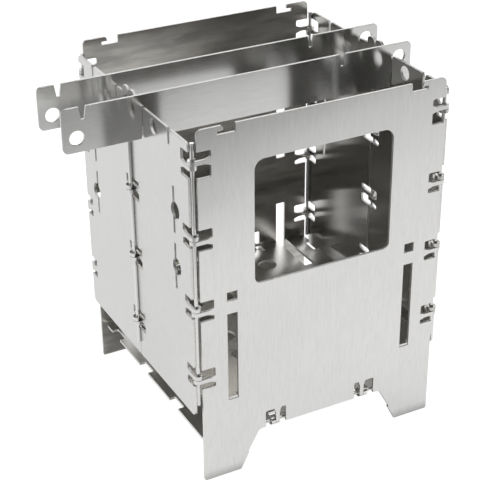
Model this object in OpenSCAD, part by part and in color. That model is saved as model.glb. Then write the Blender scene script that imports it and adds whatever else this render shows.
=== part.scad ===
// Folding twig stove of laser-cut stainless sheet, standing ready for a pot.
// All sizes are in millimetres. X runs along the front panel, the front faces -Y
// and Z is up. The modules draw the stove with its middle at the origin; it is then
// placed with the middle of its whole outline there, trivets included.

/* [Panels] */
// Width of the front and rear panels
panel_w = 150; // [144:1:170]
// Height of the front and rear panels from the ground to the top edge
panel_h = 215; // [212:1:235]
// Depth over the outer faces of the front and rear panels
box_d = 150; // [144:1:170]
// Thickness of every sheet part
sheet_t = 1.5; // [1.2:0.1:1.7]
// Height of the panels' bottom edge between the legs
arch_h = 23.9; // [20:0.1:25]
// Distance from the middle to the inner end of a foot on the ground
foot_in = 52; // [48:0.5:58]
// Distance from the middle to a leg's inner side at its top
leg_in = 40; // [38.5:0.5:44]
// Radius of the panels' top corners
panel_r = 3; // [1:0.5:5]

/* [Feed window] */
// Width of the feed window in the front panel
feed_w = 85; // [70:1:90]
// Height of the feed window's lower edge
feed_bottom = 119.3; // [110:0.1:130]
// Distance of the feed window's upper edge below the panel's top edge
feed_drop = 23; // [18:0.5:35]
// Radius of the feed window's upper corners
feed_r = 6; // [3:0.5:12]
// Radius of the feed window's lower corners
feed_low_r = 4; // [3:0.5:12]

/* [Hinges] */
// Diameter of the hinge rods
rod_d = 2.2; // [1.8:0.1:2.4]
// Radial clearance between a rod and a knuckle's bore
rod_fit = 0.05; // [0.03:0.01:0.08]
// Gap between a panel's side edge and the corner rod
edge_gap = 0.2; // [0.1:0.05:0.5]
// Height of the lowest knuckle pair
hinge_first = 68.1; // [66:0.1:70]
// Distance of the highest knuckle pair below the panels' top edge
hinge_top = 19; // [18:0.1:22]
// Height of a hinge window
window_h = 12.2; // [11:0.2:14]
// Distance that the highest corner windows reach further up and further down
window_extra = 1.3; // [0:0.1:2]
// Distance that the side walls' other corner windows lie above their knuckle pairs
wall_window_up = 1.6; // [0:0.1:2]
// Depth of a hinge window from the sheet's edge
window_deep = 8; // [7:0.5:9]
// Width of one rolled knuckle along its rod
knuckle_w = 2.4; // [2:0.1:3]
// Width of a knuckle tab where it leaves the sheet
tab_root = 4.6; // [3.6:0.1:6]
// Distance that a corner rod stands over its top knuckle
rod_over = 9.4; // [4:0.1:14]

/* [Side walls] */
// Height of the side walls' lower edge
wall_bottom = 44; // [35:0.5:50]
// Distance of the side walls' upper edge below the panels' top edge
wall_drop = 7; // [6:0.5:8]
// Gap between the two halves of a side wall
wall_gap = 0.8; // [0.4:0.1:1.2]
// Diameter of the hole near a side wall's upper edge
wall_hole_d = 8.5; // [6:0.5:9]
// Distance of that hole from the middle of the stove
wall_hole_y = 32; // [28:0.5:36]
// Distance of the long slits from the corner rods' line
slit_in = 18.3; // [15:0.1:22]
// Width of the long slits
slit_w = 2.4; // [2:0.1:3]
// Length of the long slits
slit_len = 27.4; // [20:0.2:28]
// How much lower the long slits lie in a left wall's rear half and a right wall's front half
slit_lower = 2.6; // [0:0.1:5]
// Diameter of the round bulge in each long slit
bulge_d = 10; // [7:0.5:11]

/* [Plates] */
// Height of the base plate's hinge rod
base_axis_z = 25.4; // [25:0.1:27]
// Distance of the base plate's knuckle pairs from the middle
base_hinge_x = 29.4; // [26:0.1:30.4]
// Half of the base plate's width
base_half_w = 72.5; // [68:0.5:73]
// Height of the fire grate's hinge rod
grate_axis_z = 52.65; // [51:0.05:55]
// Distance of the fire grate's knuckle pairs from the middle
grate_hinge_x = 33.75; // [30:0.05:36]
// Half of the fire grate's width
grate_half_w = 72.9; // [68:0.1:73]
// Diameter of the fire grate's round air holes
air_hole_d = 12.2; // [8:0.2:14]
// Distance from one air hole to the next along the grate's rows
air_hole_pitch = 21.2; // [18:0.2:22]
// Depth of the recesses in the plates' sides that clear the knuckles
recess_deep = 4; // [3.5:0.1:5]

/* [Panel slots] */
// Distance of the slots' middle line from the middle of the panels
slot_x = 56.25; // [54:0.05:58]
// Width of the slots that take the plates' end tabs
slot_w = 6.3; // [5.5:0.1:7]
// Height of the front slots' upper end
front_slot_top = 105.2; // [90:0.1:108]
// Height of the rear lower slots' upper end
rear_slot_top = 79; // [60:0.5:90]
// Play between a plate's end tab and the sides of its slot
tab_play = 0.3; // [0.2:0.05:0.5]

/* [Trivets] */
// Length of a trivet
trivet_len = 214.4; // [200:0.2:225]
// Height of a trivet
trivet_h = 25; // [22:0.5:27]
// Distance of a trivet from the middle of the stove
trivet_y = 17.6; // [14:0.1:24]
// Distance from a trivet's short end to its notch over the wall
trivet_short = 12; // [9:0.5:14]
// Depth of the notches in a trivet
notch_deep = 7; // [5:0.5:8]
// Width of the notches and of the wall slots that cross them
notch_w = 2.2; // [2.1:0.1:2.6]
// Width of the notches' and wall slots' flared mouth
mouth_w = 4.4; // [3.5:0.1:5]
// Diameter of the hole at each end of a trivet
trivet_hole_d = 8.4; // [6:0.2:9]

/* [Hidden] */
$fn = 48;

// Rolled knuckles: the bore runs on the rod, and the sheet wraps round it
rod_r = rod_d / 2;
bore_r = rod_r + rod_fit;
curl_r = bore_r + sheet_t;
leaf_off = bore_r + sheet_t / 2;
knuckle_gap = 0.2;
tab_neck = 3.2;
hinge_count = 4;

// Hinge lines and sheet planes that follow from the panels and the knuckles
half_w = panel_w / 2;
half_d = box_d / 2;
axis_x = half_w + edge_gap + rod_r;
axis_y = half_d - curl_r;
wall_x = axis_x + leaf_off;
mid_axis_x = wall_x + leaf_off;
wall_top = panel_h - wall_drop;
top_hinge = hinge_count - 1;
hinge_pitch = (panel_h - hinge_top - hinge_first) / top_hinge;
knuckle_z = [for (i = [0 : top_hinge]) hinge_first + i * hinge_pitch];
top_knuckle = knuckle_z[top_hinge] + knuckle_w + knuckle_gap / 2;

// The panels' knuckle lies over the walls' in the highest pair and under it in the others
panel_side = [for (i = [0 : top_hinge]) i == top_hinge ? 1 : -1];

// Feed window
feed_top = panel_h - feed_drop;

// Rods, with a little peened head at the upper end
rod_bottom = 51;
mid_rod_bottom = 53;
head_over = 0.2;
head_h = 0.8;
rod_past_window = 2;

// Panels' hooked notches in the top edge
hook_notch_in = 22;
hook_tip = 15;
hook_back = 11.6;
hook_h = 2.6;
hook_r = 1.5;
hook_notch_deep = 4.7;

// Feet: the foot's lower part stands a little further in
foot_step_z = 10;
foot_step = 0.7;
leg_blend = 1.4;
leg_blend_h = 0.9;

// Windows for the plates' knuckles
plate_window_w = 13.2;
base_window_h = 10.5;
grate_window_under = 4.2;
grate_window_over = 9.2;
window_r = 1;

// Slots in the panels
small_slot_bottom = 7.8;
small_slot_h = 5.6;
rear_upper_bottom = 33;
rear_upper_h = 36.7;

// Plates
base_z = base_axis_z - leaf_off - sheet_t / 2;
grate_z = grate_axis_z - leaf_off - sheet_t / 2;
plate_setback = 6;
plate_notch_deep = 5;
grate_edge_gap = 0.3;
grate_notch_deep = 8.2;
plate_end_gap = 1.5;
end_tab_in = 0.35;
end_tab_w = slot_w - 2 * tab_play;
grate_slit_w = 6.9;
grate_slit_len = 37.5;
air_rows = 6;
air_columns = 4;
air_first = 25.3;
air_last = 13.05;

// Side walls' top edge
end_slot_in = 24.5;
end_slot_deep = 9;
trivet_slot_floor = panel_h - trivet_h + notch_deep;
ear_r = 3;
mouth_h = 2.2;
pot_notch_mouth_h = 5.5;
lobe_w = 7;
lobe_h = 4.5;
lobe_gap = 0.7;
lobe_r = 2.5;
slit_drop = 44.4;
slit_step = 33.5;
slit_y = axis_y - slit_in;
bulge_side = 1.5;
hole_drop = 6;

// Trivets
trivet_r = 3;
trivet_left = -wall_x - (trivet_len - 2 * wall_x - trivet_short);
trivet_right = trivet_left + trivet_len;
trivet_bottom = panel_h - trivet_h;
hole_end = 8;
hole_edge = 8;
cut = 1;

// The trivets stand out further on the left, so the whole outline's middle lies off the box's
outline_mid = (trivet_left + trivet_right) / 2;

// Puts the whole outline's middle at the origin
module placed() {
    translate([-outline_mid, 0, 0]) children();
}

// 2D: rectangle between two corners
module box2(x0, x1, y0, y1) {
    translate([x0, y0]) square([x1 - x0, y1 - y0]);
}

// 2D: rectangle with round corners
module round2(x0, x1, y0, y1, r) {
    box2(x0 + r, x1 - r, y0, y1);
    box2(x0, x1, y0 + r, y1 - r);
    for (x = [x0 + r, x1 - r]) {
        for (y = [y0 + r, y1 - r]) {
            translate([x, y]) circle(r = r);
        }
    }
}

// 2D: what is cut away to round an outer corner; sx and sy point out of the corner
module corner2(x, y, sx, sy, r) {
    translate([x, y]) scale([sx, sy]) difference() {
        translate([-r, -r]) square(r + cut);
        translate([-r, -r]) circle(r = r);
    }
}

// 2D: a slot open at the top, from its floor up, with a flared mouth flare_h high
module slot2(x, floor_y, top_y, flare_h) {
    box2(x - notch_w / 2, x + notch_w / 2, floor_y, top_y + cut);
    polygon([[x - notch_w / 2, top_y - flare_h], [x + notch_w / 2, top_y - flare_h],
        [x + mouth_w / 2, top_y + cut], [x - mouth_w / 2, top_y + cut]]);
}

// 2D: a knuckle's tab from its root at u = 0 to the hinge line, on one side of v = 0
module tab2(len, side) {
    inner = knuckle_gap / 2;
    outer = inner + knuckle_w;
    flare = (tab_root - knuckle_w) / 2;
    scale([1, side]) polygon([[-cut, inner - flare], [0, inner - flare], [tab_neck, inner], [len, inner],
        [len, outer], [tab_neck, outer], [0, outer + flare], [-cut, outer + flare]]);
}

// A rolled knuckle round the Z axis; its leaf comes in from -X and touches it at -Y
module knuckle(side) {
    base = side > 0 ? knuckle_gap / 2 : -knuckle_gap / 2 - knuckle_w;
    translate([0, 0, base]) linear_extrude(knuckle_w) {
        difference() {
            circle(r = curl_r);
            circle(r = bore_r);
            box2(-curl_r - cut, 0, -bore_r, 0);
            polygon([[0, 0], [-curl_r - cut, 0], [-curl_r - cut, curl_r - sheet_t]]);
        }
        box2(-curl_r, 0, -curl_r, -bore_r);
    }
}

// Places a 2D drawing (x, z) as a sheet whose outer face is at y
module panel_sheet(y) {
    translate([0, y, 0]) rotate([90, 0, 0]) linear_extrude(sheet_t) children();
}

// Places a 2D drawing (y, z) as a sheet with its middle plane at x
module wall_sheet(x) {
    translate([x - sheet_t / 2, 0, 0]) rotate([90, 0, 90]) linear_extrude(sheet_t) children();
}

// 2D: the hook-ended notch near a panel's top corner, on the right
module hook_notch2() {
    polygon([[half_w - hook_notch_in, panel_h + cut], [half_w - hook_notch_in, panel_h - hook_notch_deep],
        [half_w - hook_back, panel_h - hook_notch_deep], [half_w - hook_back, panel_h - hook_h],
        [half_w - hook_tip, panel_h - hook_h], [half_w - hook_tip, panel_h + cut]]);
}

// 2D: half of a panel's outline, on the right
module panel_half2() {
    step_x = foot_in - (foot_in - leg_in) * foot_step_z / arch_h;
    difference() {
        polygon([[0, panel_h], [0, arch_h], [leg_in - leg_blend, arch_h],
            [leg_in + foot_step, arch_h - leg_blend_h], [step_x + foot_step, foot_step_z + foot_step / 2],
            [step_x, foot_step_z], [foot_in, 0], [half_w, 0], [half_w, panel_h]]);
        corner2(half_w, panel_h, 1, 1, panel_r);
        corner2(half_w, 0, 1, -1, 1);
        corner2(half_w - hook_tip, panel_h, -1, 1, hook_r);
        hook_notch2();
        for (i = [0 : top_hinge]) {
            z = knuckle_z[i];
            half_h = window_h / 2 + (i == top_hinge ? window_extra : 0);
            difference() {
                round2(half_w - window_deep, half_w + 2 * window_deep, z - half_h, z + half_h, window_r);
                translate([half_w - window_deep, z]) tab2(axis_x - half_w + window_deep, panel_side[i]);
            }
        }
    }
}

// 2D: both halves of a panel
module panel2() {
    panel_half2();
    mirror([1, 0]) panel_half2();
}

// Corner knuckles of the front panel; the rear panel mirrors them
module corner_knuckles() {
    for (s = [-1, 1]) {
        for (i = [0 : top_hinge]) {
            translate([s * axis_x, -axis_y, knuckle_z[i]]) scale([s, 1, 1]) knuckle(panel_side[i]);
        }
    }
}

// A panel's knuckle on a plate's hinge line; its tab comes from above
module panel_plate_knuckle(x, z) {
    translate([x, -axis_y, z]) rotate([0, 90, 0]) knuckle(-1);
}

// A plate's knuckle on its hinge line; its tab comes from behind
module plate_knuckle(x, z) {
    translate([x, -axis_y, z]) rotate([0, 90, 0]) rotate([0, 0, 90]) mirror([1, 0, 0]) knuckle(1);
}

// 2D: a panel's window and tab for a plate's knuckle
module plate_window2(x, axis_z, under, over) {
    difference() {
        round2(x - plate_window_w / 2, x + plate_window_w / 2, axis_z - under, axis_z + over, window_r);
        translate([x, axis_z + over]) rotate(-90) tab2(over, -1);
    }
}

module front_panel() color("lightsteelblue") {
    base_over = arch_h + base_window_h - base_axis_z;
    panel_sheet(-half_d + sheet_t) difference() {
        panel2();
        round2(-feed_w / 2, feed_w / 2, feed_bottom + feed_low_r, feed_top, feed_r);
        round2(-feed_w / 2, feed_w / 2, feed_bottom, feed_top - feed_r, feed_low_r);
        for (s = [-1, 1]) {
            scale([s, 1]) box2(slot_x - slot_w / 2, slot_x + slot_w / 2, grate_z, front_slot_top);
            scale([s, 1]) box2(slot_x - slot_w / 2, slot_x + slot_w / 2,
                front_slot_top + small_slot_bottom, front_slot_top + small_slot_bottom + small_slot_h);
            scale([s, 1]) plate_window2(base_hinge_x, base_axis_z, arch_h, base_over);
        }
    }
    corner_knuckles();
    for (s = [-1, 1]) {
        scale([s, 1, 1]) panel_plate_knuckle(base_hinge_x, base_axis_z);
    }
}

module rear_panel() color("lightsteelblue") {
    panel_sheet(half_d) difference() {
        panel2();
        for (s = [-1, 1]) {
            scale([s, 1]) box2(slot_x - slot_w / 2, slot_x + slot_w / 2, base_z, rear_slot_top);
            scale([s, 1]) box2(slot_x - slot_w / 2, slot_x + slot_w / 2,
                rear_slot_top + rear_upper_bottom, rear_slot_top + rear_upper_bottom + rear_upper_h);
            scale([s, 1]) plate_window2(grate_hinge_x, grate_axis_z, grate_window_under, grate_window_over);
        }
    }
    mirror([0, 1, 0]) corner_knuckles();
    for (s = [-1, 1]) {
        scale([s, 1, 1]) mirror([0, 1, 0]) panel_plate_knuckle(grate_hinge_x, grate_axis_z);
    }
}

// 2D (y, z): a long slit with its round bulge, nearer the corner on one side
module slit2(z) {
    box2(-slit_y - slit_w / 2, -slit_y + slit_w / 2, z - slit_len / 2, z + slit_len / 2);
    translate([-slit_y - bulge_side, z]) circle(d = bulge_d);
}

// 2D (y, z): a front half of a side wall; mid_side says which part of the middle knuckle it has
module wall_half2(mid_side) {
    mid_end = -wall_gap / 2;
    slit_z = wall_top - slit_drop - (mid_side < 0 ? slit_lower : 0);
    difference() {
        union() {
            box2(-axis_y, mid_end, wall_bottom, wall_top);
            round2(-lobe_gap - lobe_w, -lobe_gap, wall_top - 2 * lobe_r, wall_top + lobe_h, lobe_r);
        }
        corner2(-axis_y, wall_bottom, -1, -1, panel_r);
        corner2(-axis_y, wall_top, -1, 1, ear_r);
        slot2(-half_d + end_slot_in, wall_top - end_slot_deep, wall_top, mouth_h);
        slot2(-trivet_y, trivet_slot_floor, wall_top, mouth_h);
        translate([-wall_hole_y, wall_top - hole_drop]) circle(d = wall_hole_d);
        slit2(slit_z);
        slit2(slit_z - slit_step);
        for (i = [0 : top_hinge]) {
            z = knuckle_z[i];
            half_h = window_h / 2 + (i == top_hinge ? window_extra : 0);
            up = i == top_hinge ? 0 : wall_window_up;
            difference() {
                round2(-axis_y - 2 * window_deep, -axis_y + window_deep, z + up - half_h, z + up + half_h,
                    window_r);
                translate([-axis_y + window_deep, z]) rotate(180) tab2(window_deep, panel_side[i]);
            }
            difference() {
                round2(mid_end - window_deep, 2 * window_deep, z - window_h / 2, z + window_h / 2, window_r);
                translate([mid_end - window_deep, z]) tab2(window_deep - mid_end, mid_side);
            }
        }
    }
}

// The front half of the left side wall, with both its rows of knuckles
module wall_half(mid_side) {
    wall_sheet(-wall_x) wall_half2(mid_side);
    for (i = [0 : top_hinge]) {
        translate([-axis_x, -axis_y, knuckle_z[i]]) rotate([0, 0, -90]) knuckle(-panel_side[i]);
        translate([-mid_axis_x, 0, knuckle_z[i]]) rotate([0, 0, 90]) knuckle(mid_side);
    }
}

module left_front_wall() color("gainsboro") wall_half(1);

module left_rear_wall() color("silver") mirror([0, 1, 0]) wall_half(-1);

// The right wall is the left one turned half a turn
module right_front_wall() color("silver") rotate([0, 0, 180]) mirror([0, 1, 0]) wall_half(-1);

module right_rear_wall() color("gainsboro") rotate([0, 0, 180]) wall_half(1);

// 2D: the recesses in a plate's side that clear the corner knuckles once it is folded up;
// y is measured from the plate's hinge line
module recess2(half_plate, axis_z) {
    for (z = knuckle_z) {
        round2(half_plate - recess_deep, half_plate + 2 * recess_deep,
            z - axis_z - window_h / 2, z - axis_z + window_h / 2, window_r);
    }
}

// 2D: a plate's notch and tab for its knuckle; y is measured from the hinge line
module plate_notch2(x, root_y) {
    difference() {
        box2(x - plate_window_w / 2, x + plate_window_w / 2, -plate_setback, root_y);
        translate([x, root_y]) rotate(-90) tab2(root_y, 1);
    }
}

// 2D: a plate's tab from its notch to the hinge line
module plate_tab2(x, root_y) {
    translate([x, root_y]) rotate(-90) tab2(root_y, 1);
}

module base_plate() color("darkgray") {
    front_y = plate_setback - half_d + axis_y;
    root_y = front_y + plate_notch_deep;
    end_y = axis_y + half_d - sheet_t - plate_end_gap;
    tip_y = axis_y + half_d - end_tab_in;
    translate([0, -axis_y, base_z]) linear_extrude(sheet_t) for (s = [-1, 1]) scale([s, 1]) {
        difference() {
            box2(0, base_half_w, front_y, end_y);
            recess2(base_half_w, base_axis_z);
            plate_notch2(base_hinge_x, root_y);
            corner2(base_half_w, front_y, 1, -1, panel_r);
            corner2(base_half_w, end_y, 1, 1, panel_r);
        }
        box2(slot_x - end_tab_w / 2, slot_x + end_tab_w / 2, end_y - cut, tip_y);
        plate_tab2(base_hinge_x, root_y);
    }
    for (s = [-1, 1]) {
        scale([s, 1, 1]) plate_knuckle(base_hinge_x, base_axis_z);
    }
}

// 2D: the fire grate's right half; y is measured forward from its hinge line
module grate_half2() {
    rear_y = -(half_d - sheet_t - grate_edge_gap - axis_y);
    root_y = grate_notch_deep + rear_y;
    end_y = axis_y + half_d - sheet_t - plate_end_gap;
    tip_y = axis_y + half_d - end_tab_in;
    row_pitch = (end_y - air_last - air_first) / (air_rows - 1);
    difference() {
        box2(0, grate_half_w, rear_y, end_y);
        recess2(grate_half_w, grate_axis_z);
        plate_notch2(grate_hinge_x, root_y);
        box2(slot_x + tab_play - grate_slit_w / 2, slot_x + tab_play + grate_slit_w / 2, rear_y - cut,
            grate_slit_len);
        for (i = [0 : air_rows - 1]) {
            for (j = [0 : air_columns / 2 - 1]) {
                translate([(j + 0.5) * air_hole_pitch, air_first + i * row_pitch])
                    circle(d = air_hole_d);
            }
        }
        corner2(grate_half_w, rear_y, 1, -1, panel_r);
    }
    box2(slot_x - end_tab_w / 2, slot_x + end_tab_w / 2, end_y - cut, tip_y);
    plate_tab2(grate_hinge_x, root_y);
}

module fire_grate() color("slategray") mirror([0, 1, 0]) {
    translate([0, -axis_y, grate_z]) linear_extrude(sheet_t) for (s = [-1, 1]) scale([s, 1]) grate_half2();
    for (s = [-1, 1]) {
        scale([s, 1, 1]) plate_knuckle(grate_hinge_x, grate_axis_z);
    }
}

// 2D (x, z): a trivet, its notches over the walls cut from below
module trivet2() {
    top_y = panel_h;
    difference() {
        box2(trivet_left, trivet_right, trivet_bottom, top_y);
        for (x = [-wall_x, wall_x]) {
            translate([x, 0]) mirror([0, 1]) slot2(0, -trivet_bottom - notch_deep, -trivet_bottom, mouth_h);
        }
        for (x = [trivet_left + trivet_short, trivet_right - (-wall_x - trivet_left)]) {
            slot2(x, top_y - notch_deep, top_y, pot_notch_mouth_h);
        }
        translate([trivet_left + hole_end, trivet_bottom + hole_edge]) circle(d = trivet_hole_d);
        translate([trivet_right - hole_end, top_y - hole_edge]) circle(d = trivet_hole_d);
        corner2(trivet_left, trivet_bottom, -1, -1, trivet_r);
        corner2(trivet_left, top_y, -1, 1, trivet_r);
        corner2(trivet_right, trivet_bottom, 1, -1, trivet_r);
        corner2(trivet_right, top_y, 1, 1, trivet_r);
    }
}

module front_trivet() color("lightgray") panel_sheet(-trivet_y + sheet_t / 2) trivet2();

module rear_trivet() color("lightgray") panel_sheet(trivet_y + sheet_t / 2) trivet2();

// A hinge rod along Z with a little head at its upper end
module rod(z0, z1) {
    translate([0, 0, z0]) cylinder(r = rod_r, h = z1 - z0);
    translate([0, 0, z1 - head_h]) cylinder(r = rod_r + head_over, h = head_h);
}

module corner_rod(sx, sy) {
    translate([sx * axis_x, sy * axis_y, 0]) rod(rod_bottom, top_knuckle + rod_over);
}

module mid_rod(sx) {
    translate([sx * mid_axis_x, 0, 0]) rod(mid_rod_bottom, top_knuckle + rod_over);
}

module rod_front_left() color("gray") corner_rod(-1, -1);

module rod_front_right() color("gray") corner_rod(1, -1);

module rod_rear_left() color("gray") corner_rod(-1, 1);

module rod_rear_right() color("gray") corner_rod(1, 1);

module rod_mid_left() color("gray") mid_rod(-1);

module rod_mid_right() color("gray") mid_rod(1);

// A plate's hinge rod along X, past its two windows
module plate_rod(half_len, y, z) {
    translate([-half_len, y, z]) rotate([0, 90, 0]) cylinder(r = rod_r, h = 2 * half_len);
}

module base_rod() color("dimgray")
    plate_rod(base_hinge_x + plate_window_w / 2 + rod_past_window, -axis_y, base_axis_z);

module grate_rod() color("dimgray")
    plate_rod(grate_hinge_x + plate_window_w / 2 + rod_past_window, axis_y, grate_axis_z);

placed() front_panel();
placed() rear_panel();
placed() left_front_wall();
placed() left_rear_wall();
placed() right_front_wall();
placed() right_rear_wall();
placed() base_plate();
placed() fire_grate();
placed() front_trivet();
placed() rear_trivet();
placed() rod_front_left();
placed() rod_front_right();
placed() rod_rear_left();
placed() rod_rear_right();
placed() rod_mid_left();
placed() rod_mid_right();
placed() base_rod();
placed() grate_rod();
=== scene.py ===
"""Folding twig stove of brushed stainless sheet, standing ready for a pot."""

import bpy
from mathutils import Matrix, Vector


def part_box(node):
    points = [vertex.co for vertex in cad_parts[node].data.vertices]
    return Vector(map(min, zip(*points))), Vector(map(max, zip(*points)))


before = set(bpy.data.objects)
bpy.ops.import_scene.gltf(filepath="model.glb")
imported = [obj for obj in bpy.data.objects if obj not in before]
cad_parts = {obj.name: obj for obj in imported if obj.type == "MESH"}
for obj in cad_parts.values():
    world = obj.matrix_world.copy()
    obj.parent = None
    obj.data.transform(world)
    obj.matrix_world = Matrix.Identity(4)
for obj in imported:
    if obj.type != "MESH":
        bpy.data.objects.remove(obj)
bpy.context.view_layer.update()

# Every length is in metres. MM turns a millimetre figure into metres.
MM = 0.001

# The axes' numbers, as a vector's parts are counted.
X, Y, Z = 0, 1, 2

# The stove's own box, without the trivets' overhang, measured on the front panel.
FRONT_LOW, FRONT_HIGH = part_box("front_panel")
MID_X = (FRONT_LOW.x + FRONT_HIGH.x) / 2
FRONT_Y = FRONT_LOW.y

# The photograph's camera, solved from the panels' straight edges.
IMAGE_SIZE = 480
FOCAL_PX = 1359.19
PRINCIPAL_PX = (242.18, 238.85)
CAMERA_FROM_FRONT = (-339.147 * MM, -555.095 * MM, 482.147 * MM)
CAMERA_RIGHT = (0.884516, -0.466417, -0.009325)
CAMERA_DOWN = (-0.226636, -0.412151, -0.882478)
CAMERA_FORWARD = (0.407760, 0.782679, -0.470261)
SENSOR_MM = 36.0


def make_camera():
    """Puts the camera at the photograph's viewpoint, with its lens and centre."""
    data = bpy.data.cameras.new("camera")
    data.sensor_width = SENSOR_MM
    data.lens = FOCAL_PX / IMAGE_SIZE * SENSOR_MM
    data.shift_x = (IMAGE_SIZE / 2 - PRINCIPAL_PX[0]) / IMAGE_SIZE
    data.shift_y = (PRINCIPAL_PX[1] - IMAGE_SIZE / 2) / IMAGE_SIZE
    camera = bpy.data.objects.new("camera", data)
    bpy.context.collection.objects.link(camera)
    right, down, forward = (Vector(v) for v in (CAMERA_RIGHT, CAMERA_DOWN, CAMERA_FORWARD))
    turn = Matrix((right, -down, -forward)).transposed().to_4x4()
    place = Vector(CAMERA_FROM_FRONT) + Vector((MID_X, FRONT_Y, 0))
    camera.matrix_world = Matrix.Translation(place) @ turn
    bpy.context.scene.camera = camera


class Nodes:
    """A node tree, with short calls that add and join its nodes."""

    def __init__(self, tree):
        self.tree = tree
        tree.nodes.clear()

    def add(self, kind, settings=None, **inputs):
        """Adds a node; an input given as a socket is linked, any other is set."""
        node = self.tree.nodes.new(kind)
        for name, value in (settings or {}).items():
            setattr(node, name, value)
        for name, value in inputs.items():
            self.put(node, name.replace("_", " "), value)
        return node

    def put(self, node, name, value):
        """Links or sets one input, given by its name or by its number as text."""
        socket = node.inputs[int(name)] if name.isdigit() else node.inputs[name]
        if isinstance(value, bpy.types.NodeSocket):
            self.tree.links.new(value, socket)
        else:
            socket.default_value = value

    def coordinates(self, kind):
        return self.add("ShaderNodeTexCoord").outputs[kind]

    def part(self, vector, axis):
        """A vector's part along one axis."""
        return self.add("ShaderNodeSeparateXYZ", Vector=vector).outputs[axis]

    def math(self, operation, a, b=0.0, c=0.0):
        node = self.add("ShaderNodeMath", {"operation": operation})
        for i, value in enumerate((a, b, c)):
            self.put(node, str(i), value)
        return node.outputs[0]

    def vector_math(self, operation, a, b=(0.0, 0.0, 0.0), output="Vector"):
        node = self.add("ShaderNodeVectorMath", {"operation": operation})
        self.put(node, "0", a)
        self.put(node, "1", b)
        return node.outputs[output]

    def ramp(self, value, stops):
        """Colour ramp through (position, grey or colour) stops."""
        node = self.add("ShaderNodeValToRGB", Fac=value)
        elements = node.color_ramp.elements
        # New elements start halfway, and the loop after this one puts each in its place.
        while len(elements) < len(stops):
            elements.new(0.5)
        for element, (position, colour) in zip(elements, stops):
            red, green, blue = colour if hasattr(colour, "__len__") else (colour, colour, colour)
            element.position = position
            element.color = (red, green, blue, 1)
        return node.outputs["Color"]

    def between(self, value, span, low, high):
        """Colour ramp from low to high while the value crosses a span."""
        return self.ramp(value, ((span[0], low), (span[1], high)))

    def blend(self, factor, under, over, kind="MIX"):
        node = self.add("ShaderNodeMix", {"data_type": "RGBA", "blend_type": kind})
        self.put(node, "0", factor)
        self.put(node, "6", under)
        self.put(node, "7", over)
        return node.outputs[2]

    def multiply(self, under, over):
        return self.blend(1.0, under, over, "MULTIPLY")

    def noise(self, where, scale, detail, roughness):
        """Noise on object coordinates, stretched by a scale of its own along each axis."""
        mapping = self.add("ShaderNodeMapping", Vector=where)
        mapping.inputs["Scale"].default_value = scale
        node = self.add("ShaderNodeTexNoise", Vector=mapping.outputs["Vector"], Scale=1.0,
                        Detail=detail, Roughness=roughness)
        return node.outputs["Fac"]

    def directed_noise(self, where, along, across_scale, along_scale, detail, roughness):
        """Noise with one scale along an axis and another along the other two."""
        scale = [across_scale] * 3
        scale[along] = along_scale
        return self.noise(where, scale, detail, roughness)

    def relief(self, height, strength, depth, normal):
        """A normal bumped by a height from 0 to 1."""
        node = self.add("ShaderNodeBump", Strength=strength, Distance=depth, Height=height,
                        Normal=normal)
        return node.outputs["Normal"]

    def together(self, one, other):
        """The light of two shaders, added up."""
        node = self.add("ShaderNodeAddShader")
        self.put(node, "0", one)
        self.put(node, "1", other)
        return node.outputs[0]


def new_material(name):
    material = bpy.data.materials.new(name)
    material.use_nodes = True
    return material, Nodes(material.node_tree)


# Noises that follow the grain: how many features a metre holds across the grain and along it,
# then the noise's detail and roughness. GRAIN is the brushing's fine lines, STREAKS are its
# long ones, and WAVES is the slow unevenness of a sheet that is never quite flat.
GRAIN = (1500.0, 160.0, 3.0, 0.6)
STREAKS = (420.0, 5.0, 4.0, 0.6)
WAVES = (7.0, 16.0, 1.0, 0.5)

# Other noises: how many features a metre holds along X, Y and Z, then detail and roughness.
CLOUDS = ((28.0, 28.0, 28.0), 5.0, 0.6)
SPECKS = ((700.0, 700.0, 700.0), 2.0, 0.4)
CUT_GRAIN = ((900.0, 900.0, 900.0), 2.0, 0.5)
BANDS = ((22.0, 22.0, 95.0), 3.0, 0.55)
DIE_RINGS = ((500.0, 500.0, 1600.0), 2.0, 0.5)
WIRE_CLOUDS = ((90.0, 90.0, 90.0), 4.0, 0.5)

# The spans of noise over which a tint changes.
NOISE_SPAN = (0.3, 0.7)
STREAK_SPAN = (0.25, 0.75)

# How noise turns into tint: the span of noise, then the tint at its low and high ends.
CLOUD_TINT = (NOISE_SPAN, 0.97, 1.0)
SPECK_TINT = ((0.20, 0.27), 0.86, 1.0)
CUT_TINT = (NOISE_SPAN, (0.76, 0.75, 0.73), (0.92, 0.91, 0.89))
BAND_TINT = ((0.36, 0.62), (0.56, 0.552, 0.532), (0.95, 0.93, 0.89))

# How dark the long streaks get, as a share of the sheet's colour.
STREAK_DARK = 0.98

# The fine grain's strength: how dark its lines get, how strongly they show as relief, and how
# far they vary the roughness. The rear panel goes without, because with the fine grain its
# shaded inner face showed dark flecks.
GRAIN_STRENGTH = (0.92, 0.12, 0.03)
NO_GRAIN = (1.0, 0.0, 0.0)

# Heights of the grain's lines and the wire's rings at full strength, and of the sheet's waves.
LINE_HEIGHT = 0.01 * MM
WAVE_HEIGHT = 0.7 * MM
WAVE_STRENGTH = 1.0

# How far clouds vary a sheet's roughness, how rough a cut edge is, and how strongly the
# brushing draws highlights out.
CLOUD_ROUGHNESS = 0.05
CUT_ROUGHNESS = 0.42
BRUSHED_PULL = 0.85

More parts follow.
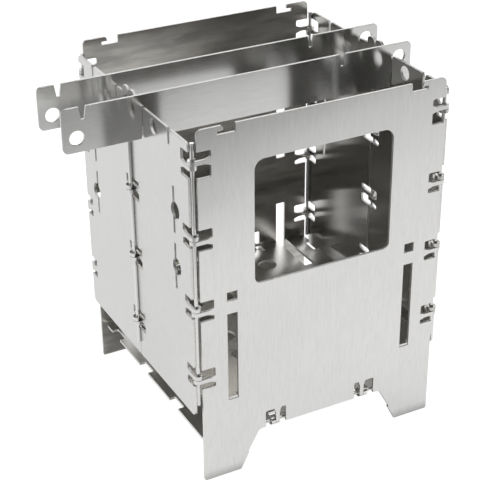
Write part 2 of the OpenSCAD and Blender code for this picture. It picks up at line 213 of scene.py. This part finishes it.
# How far a bent or cut edge is softened, and with how many samples. Over a span of how much the
# softened normal differs from the flat one, an edge takes on a share of a bright tint, as a painted
# highlight.
EDGE_RADIUS = 0.3 * MM
EDGE_SAMPLES = 6
SHEET_EDGE_SPAN = (0.03, 0.22)
SHEET_EDGE_SHARE = 0.7
SHEET_EDGE_HIGHLIGHT = (0.96, 0.96, 0.95, 1)
WIRE_EDGE_SPAN = (0.05, 0.3)
WIRE_EDGE_SHARE = 0.5
WIRE_EDGE_HIGHLIGHT = (0.92, 0.92, 0.91, 1)

# How a cut edge is told from a sheet's flat faces: the part of the normal across the sheet that
# a flat face has at least, the part that a cut edge has at most, the decimals that a flat face's
# place is rounded to, and how far outside the sheet's thickness a cut edge may lie.
FLAT_FACING = 0.999
CUT_FACING = 0.5
PLACE_DECIMALS = 5
CUT_MARGIN = 0.02 * MM

# The rear panel's bands are on its inner face, which looks to the front. Its other faces are
# toned down evenly.
INNER_FACING = -0.5
UNBANDED_TINT = (0.8, 0.8, 0.8, 1)

# The hinge wires: colour, the rings' darkest tint as a share of it, base roughness, how far the
# rings and clouds add to that, and the rings' strength as relief.
WIRE_COLOUR = (0.76, 0.76, 0.75)
RING_DARK = 0.93
WIRE_ROUGHNESS = 0.13
RING_ROUGHNESS = 0.06
WIRE_CLOUD_ROUGHNESS = 0.05
RING_RELIEF = 0.25


def sheet_planes(mesh, axis):
    """The two coordinates along an axis that hold most of a sheet's faces."""
    areas = {}
    for polygon in mesh.polygons:
        if abs(polygon.normal[axis]) > FLAT_FACING:
            place = round(polygon.center[axis], PLACE_DECIMALS)
            areas[place] = areas.get(place, 0.0) + polygon.area
    return sorted(sorted(areas, key=areas.get)[-2:])


def cut_mask(nodes, where, mesh, axis):
    """1 on the sheet's cut edges and 0 on its faces and rolled knuckles."""
    low, high = sheet_planes(mesh, axis)
    facing = nodes.part(nodes.coordinates("Normal"), axis)
    edge_on = nodes.math("LESS_THAN", nodes.math("ABSOLUTE", facing), CUT_FACING)
    from_middle = nodes.math("SUBTRACT", nodes.part(where, axis), (low + high) / 2)
    depth = nodes.math("ABSOLUTE", from_middle)
    inside = nodes.math("LESS_THAN", depth, (high - low) / 2 + CUT_MARGIN)
    return nodes.math("MULTIPLY", edge_on, inside)


def soft_edge(nodes):
    """A normal rounded at the edges, and how strongly each point belongs to an edge."""
    bevel = nodes.add("ShaderNodeBevel", {"samples": EDGE_SAMPLES}, Radius=EDGE_RADIUS)
    round_normal = bevel.outputs[0]
    flat_normal = nodes.add("ShaderNodeNewGeometry").outputs["Normal"]
    alike = nodes.vector_math("DOT_PRODUCT", round_normal, flat_normal, output="Value")
    return round_normal, nodes.math("SUBTRACT", 1.0, alike)


def object_direction(nodes, axis):
    """A direction fixed to the object, for the grain's stretched highlights."""
    vector = nodes.add("ShaderNodeCombineXYZ")
    vector.inputs[axis].default_value = 1.0
    turned = nodes.add("ShaderNodeVectorTransform",
                       {"vector_type": "VECTOR", "convert_from": "OBJECT", "convert_to": "WORLD"},
                       Vector=vector.outputs[0])
    return turned.outputs[0]


def leaning(nodes, normal, lean):
    """A normal turned about the upright axis by a small angle in radians."""
    sideways = nodes.vector_math("CROSS_PRODUCT", (0.0, 0.0, lean), normal)
    return nodes.vector_math("NORMALIZE", nodes.vector_math("ADD", normal, sideways))


def inner_bands(nodes, where, axis):
    """Faint brownish bands, level and wavy, on the face that looks down an axis."""
    facing = nodes.part(nodes.coordinates("Normal"), axis)
    inner = nodes.math("LESS_THAN", facing, INNER_FACING)
    bands = nodes.between(nodes.noise(where, *BANDS), *BAND_TINT)
    return nodes.blend(inner, UNBANDED_TINT, bands)


def sheet_tint(nodes, where, along, fine, cloud, colour, grain_dark):
    """The sheet's given colour, with its streaks, clouds, fine grain and specks."""
    streaks = nodes.directed_noise(where, along, *STREAKS)
    dark = [c * STREAK_DARK for c in colour]
    tint = nodes.between(streaks, STREAK_SPAN, dark, colour)
    tint = nodes.multiply(tint, nodes.between(cloud, *CLOUD_TINT))
    tint = nodes.multiply(tint, nodes.between(fine, NOISE_SPAN, grain_dark, 1.0))
    return nodes.multiply(tint, nodes.between(nodes.noise(where, *SPECKS), *SPECK_TINT))


def sheet_roughness(nodes, fine, cloud, cut, roughness, grain_roughness):
    """The sheet's roughness, varied about its middle, and at least a cut's on a cut edge."""
    rough = nodes.math("MULTIPLY_ADD", fine, grain_roughness, roughness - grain_roughness / 2)
    rough = nodes.math("SUBTRACT", rough, CLOUD_ROUGHNESS / 2)
    rough = nodes.math("MULTIPLY_ADD", cloud, CLOUD_ROUGHNESS, rough)
    return nodes.math("MAXIMUM", rough, nodes.math("MULTIPLY", cut, CUT_ROUGHNESS))


def brushed_steel(name, mesh, across, along, colour, roughness, lean, banded):
    """Brushed stainless sheet; across is the sheet's normal axis, along its grain's axis."""
    material, nodes = new_material(name)
    where = nodes.coordinates("Object")
    grain_dark, grain_relief, grain_roughness = NO_GRAIN if banded else GRAIN_STRENGTH
    fine = nodes.directed_noise(where, along, *GRAIN)
    cloud = nodes.noise(where, *CLOUDS)
    cut = cut_mask(nodes, where, mesh, across)
    normal, edge = soft_edge(nodes)
    if lean:
        normal = leaning(nodes, normal, lean)
    tint = sheet_tint(nodes, where, along, fine, cloud, colour, grain_dark)
    if banded:
        tint = nodes.multiply(tint, inner_bands(nodes, where, across))
    tint = nodes.blend(cut, tint, nodes.between(nodes.noise(where, *CUT_GRAIN), *CUT_TINT))
    # A painted highlight: the bent and cut edges are blended towards a bright tint.
    painted_edge_highlight = nodes.math("MULTIPLY", nodes.between(edge, SHEET_EDGE_SPAN, 0.0, 1.0), SHEET_EDGE_SHARE)
    tint = nodes.blend(painted_edge_highlight, tint, SHEET_EDGE_HIGHLIGHT)
    waves = nodes.directed_noise(where, along, *WAVES)
    wavy = nodes.relief(waves, WAVE_STRENGTH, WAVE_HEIGHT, normal)
    side = X + Y + Z - across - along
    shader = nodes.add("ShaderNodeBsdfPrincipled", Base_Color=tint, Metallic=1.0,
                       Roughness=sheet_roughness(nodes, fine, cloud, cut, roughness, grain_roughness),
                       Normal=nodes.relief(fine, grain_relief, LINE_HEIGHT, wavy),
                       Anisotropic=BRUSHED_PULL, Tangent=object_direction(nodes, side))
    nodes.add("ShaderNodeOutputMaterial", Surface=shader.outputs[0])
    return material


def drawn_wire(name):
    """Bright drawn wire, with faint rings round it and a painted highlight on its rims."""
    material, nodes = new_material(name)
    where = nodes.coordinates("Object")
    rings = nodes.noise(where, *DIE_RINGS)
    cloud = nodes.noise(where, *WIRE_CLOUDS)
    round_normal, edge = soft_edge(nodes)
    rough = nodes.math("MULTIPLY_ADD", rings, RING_ROUGHNESS, WIRE_ROUGHNESS)
    rough = nodes.math("MULTIPLY_ADD", cloud, WIRE_CLOUD_ROUGHNESS, rough)
    dark = [c * RING_DARK for c in WIRE_COLOUR]
    tint = nodes.between(rings, NOISE_SPAN, dark, WIRE_COLOUR)
    # A painted highlight: the wire's rims are blended towards a bright tint.
    painted_edge_highlight = nodes.math("MULTIPLY", nodes.between(edge, WIRE_EDGE_SPAN, 0.0, 1.0), WIRE_EDGE_SHARE)
    shader = nodes.add("ShaderNodeBsdfPrincipled", Metallic=1.0, Roughness=rough,
                       Base_Color=nodes.blend(painted_edge_highlight, tint, WIRE_EDGE_HIGHLIGHT),
                       Normal=nodes.relief(rings, RING_RELIEF, LINE_HEIGHT, round_normal))
    nodes.add("ShaderNodeOutputMaterial", Surface=shader.outputs[0])
    return material


# Steel colours, and how far reflections lean in radians. They are chosen to come near the
# brightness of each part in the photograph, where the two halves of a side wall differ.
# The right walls' steel is darker than the left walls' as painted shade, and the plates' steel
# lighter as painted light.
LEFT_WALL_STEEL = (0.745, 0.744, 0.735)
RIGHT_WALL_PAINTED_SHADE_STEEL = (0.57, 0.565, 0.545)
PLATE_PAINTED_LIGHT_STEEL = (0.86, 0.85, 0.825)
WALL_LEAN = 0.05
TRIVET_LEAN = 0.010

# What each kind of sheet part is made of: the end of its name, the sheet's normal axis, the
# grain's axis, colour, roughness, lean, and whether it has bands on its inner face and no fine
# grain.
SHEET_LOOKS = (
    ("front_panel", Y, Z, (0.775, 0.772, 0.758), 0.24, 0.0, False),
    ("rear_panel", Y, Z, (0.90, 0.89, 0.87), 0.265, 0.0, True),
    ("left_front_wall", X, Z, LEFT_WALL_STEEL, 0.20, WALL_LEAN, False),
    ("left_rear_wall", X, Z, LEFT_WALL_STEEL, 0.20, -WALL_LEAN, False),
    ("right_front_wall", X, Z, RIGHT_WALL_PAINTED_SHADE_STEEL, 0.18, WALL_LEAN, False),
    ("right_rear_wall", X, Z, RIGHT_WALL_PAINTED_SHADE_STEEL, 0.18, -WALL_LEAN, False),
    ("_trivet", Y, X, (0.81, 0.807, 0.793), 0.17, TRIVET_LEAN, False),
    ("base_plate", Z, Y, PLATE_PAINTED_LIGHT_STEEL, 0.30, 0.0, False),
    ("fire_grate", Z, Y, PLATE_PAINTED_LIGHT_STEEL, 0.26, 0.0, False),
)


def dress(node, material):
    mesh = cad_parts[node].data
    mesh.materials.clear()
    mesh.materials.append(material)


def dress_all():
    """Gives each sheet part steel of its own, and every other piece the wire's."""
    wire = drawn_wire("hinge_wire")
    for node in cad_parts:
        for ending, *look in SHEET_LOOKS:
            if node.endswith(ending):
                dress(node, brushed_steel(node + "_steel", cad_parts[node].data, *look))
                break
        else:
            dress(node, wire)


# The table that the metal mirrors: how bright it is at distances in metres from the stove's
# middle, measured towards the front and a little to the left. TABLE_SPAN is the distance that
# the ramp covers. The table is painted to match the photograph's reflections.
TABLE_FADE = ((0.0, 0.84), (0.10, 0.94), (0.20, 0.88), (0.30, 0.93), (0.34, 0.90), (0.375, 0.64),
              (0.42, 0.38), (0.48, 0.28), (0.60, 0.20))
TABLE_SKEW = 0.45
TABLE_SPAN = 1.0

# The shade under the stove: how bright the table is at distances from the stove's middle line,
# across or along, whichever is larger.
UNDER_SHADE = ((0.045, 0.10), (0.070, 0.30), (0.082, 1.0))

# The floor's half width, its paper's grey, and how brightly the metal sees the table.
FLOOR_REACH = 3.0
PAPER_GREY = (0.62, 0.62, 0.62, 1)
TABLE_GLOW = 0.78

# How bright the room is in what the metal reflects, apart from the lamps.
ROOM_GLOW = 0.035


def table_brightness(nodes):
    """How bright the table is in the metal, darker far ahead and under the stove."""
    where = nodes.coordinates("Object")
    across = nodes.part(where, X)
    towards_back = nodes.part(where, Y)
    ahead = nodes.math("MULTIPLY_ADD", across, -TABLE_SKEW, TABLE_SKEW * MID_X)
    ahead = nodes.math("SUBTRACT", ahead, towards_back)
    fade = nodes.ramp(nodes.math("DIVIDE", ahead, TABLE_SPAN), TABLE_FADE)
    beside = nodes.math("ABSOLUTE", nodes.math("SUBTRACT", across, MID_X))
    beside = nodes.math("MAXIMUM", beside, nodes.math("ABSOLUTE", towards_back))
    return nodes.multiply(fade, nodes.ramp(beside, UNDER_SHADE))


def make_floor():
    """A wide floor, plain white to the camera; to the metal it glows as a table, a painted reflection
    with painted shade under the stove.
    """
    square = ((-1, -1), (1, -1), (1, 1), (-1, 1))
    corners = [(x * FLOOR_REACH, y * FLOOR_REACH, 0) for x, y in square]
    mesh = bpy.data.meshes.new("floor")
    mesh.from_pydata(corners, [], [(0, 1, 2, 3)])
    floor = bpy.data.objects.new("floor", mesh)
    bpy.context.collection.objects.link(floor)
    material, nodes = new_material("floor_paper")
    ray = nodes.add("ShaderNodeLightPath").outputs
    table = table_brightness(nodes)
    # The paper's colour carries the painted fade and the painted shade under the stove.
    paper = nodes.add("ShaderNodeBsdfDiffuse", Color=nodes.multiply(table, PAPER_GREY))
    painted_table_reflection = nodes.add("ShaderNodeEmission", Color=table,
                         Strength=nodes.math("MULTIPLY", ray["Is Glossy Ray"], TABLE_GLOW))
    seen = nodes.add("ShaderNodeEmission", Strength=ray["Is Camera Ray"])
    surface = nodes.together(nodes.together(paper.outputs[0], painted_table_reflection.outputs[0]), seen.outputs[0])
    nodes.add("ShaderNodeOutputMaterial", Surface=surface)
    mesh.materials.append(material)


def make_world():
    """White to the camera, and a dim room in what the metal reflects."""
    world = bpy.data.worlds.new("studio")
    bpy.context.scene.world = world
    world.use_nodes = True
    nodes = Nodes(world.node_tree)
    ray = nodes.add("ShaderNodeLightPath").outputs
    strength = nodes.math("MULTIPLY_ADD", ray["Is Camera Ray"], 1.0 - ROOM_GLOW, ROOM_GLOW)
    background = nodes.add("ShaderNodeBackground", Color=(1, 1, 1, 1), Strength=strength)
    nodes.add("ShaderNodeOutputWorld", Surface=background.outputs[0])


# The lamps: name, place, width and height in metres, and power in watts. All of them point near
# the stove's middle.
LAMPS = (
    ("top_softbox", (MID_X - 0.1, 0.15, 1.2), 1.3, 1.3, 5.8),
    ("left_softbox", (-1.3, 0.1, 0.75), 0.9, 0.9, 2.5),
    ("rear_softbox", (MID_X + 0.55, 1.05, 0.78), 0.9, 0.7, 2.8),
    ("front_softbox", (MID_X + 0.5, -0.75, 1.15), 0.5, 0.4, 2.0),
    ("back_screen", (-0.9, 1.3, 0.36), 1.8, 0.7, 2.8),
)
LAMP_AIM = (MID_X, 0, 0.12)


def softbox(name, place, width, height, power):
    """A rectangular soft light at place, pointing at the stove."""
    data = bpy.data.lights.new(name, "AREA")
    data.shape = "RECTANGLE"
    data.size = width
    data.size_y = height
    data.energy = power
    light = bpy.data.objects.new(name, data)
    bpy.context.collection.objects.link(light)
    light.location = place
    light.rotation_euler = (Vector(LAMP_AIM) - Vector(place)).to_track_quat("-Z", "Y").to_euler()


def make_lights():
    for lamp in LAMPS:
        softbox(*lamp)


make_camera()
dress_all()
make_floor()
make_world()
make_lights()
bpy.context.scene.view_settings.view_transform = "Standard"
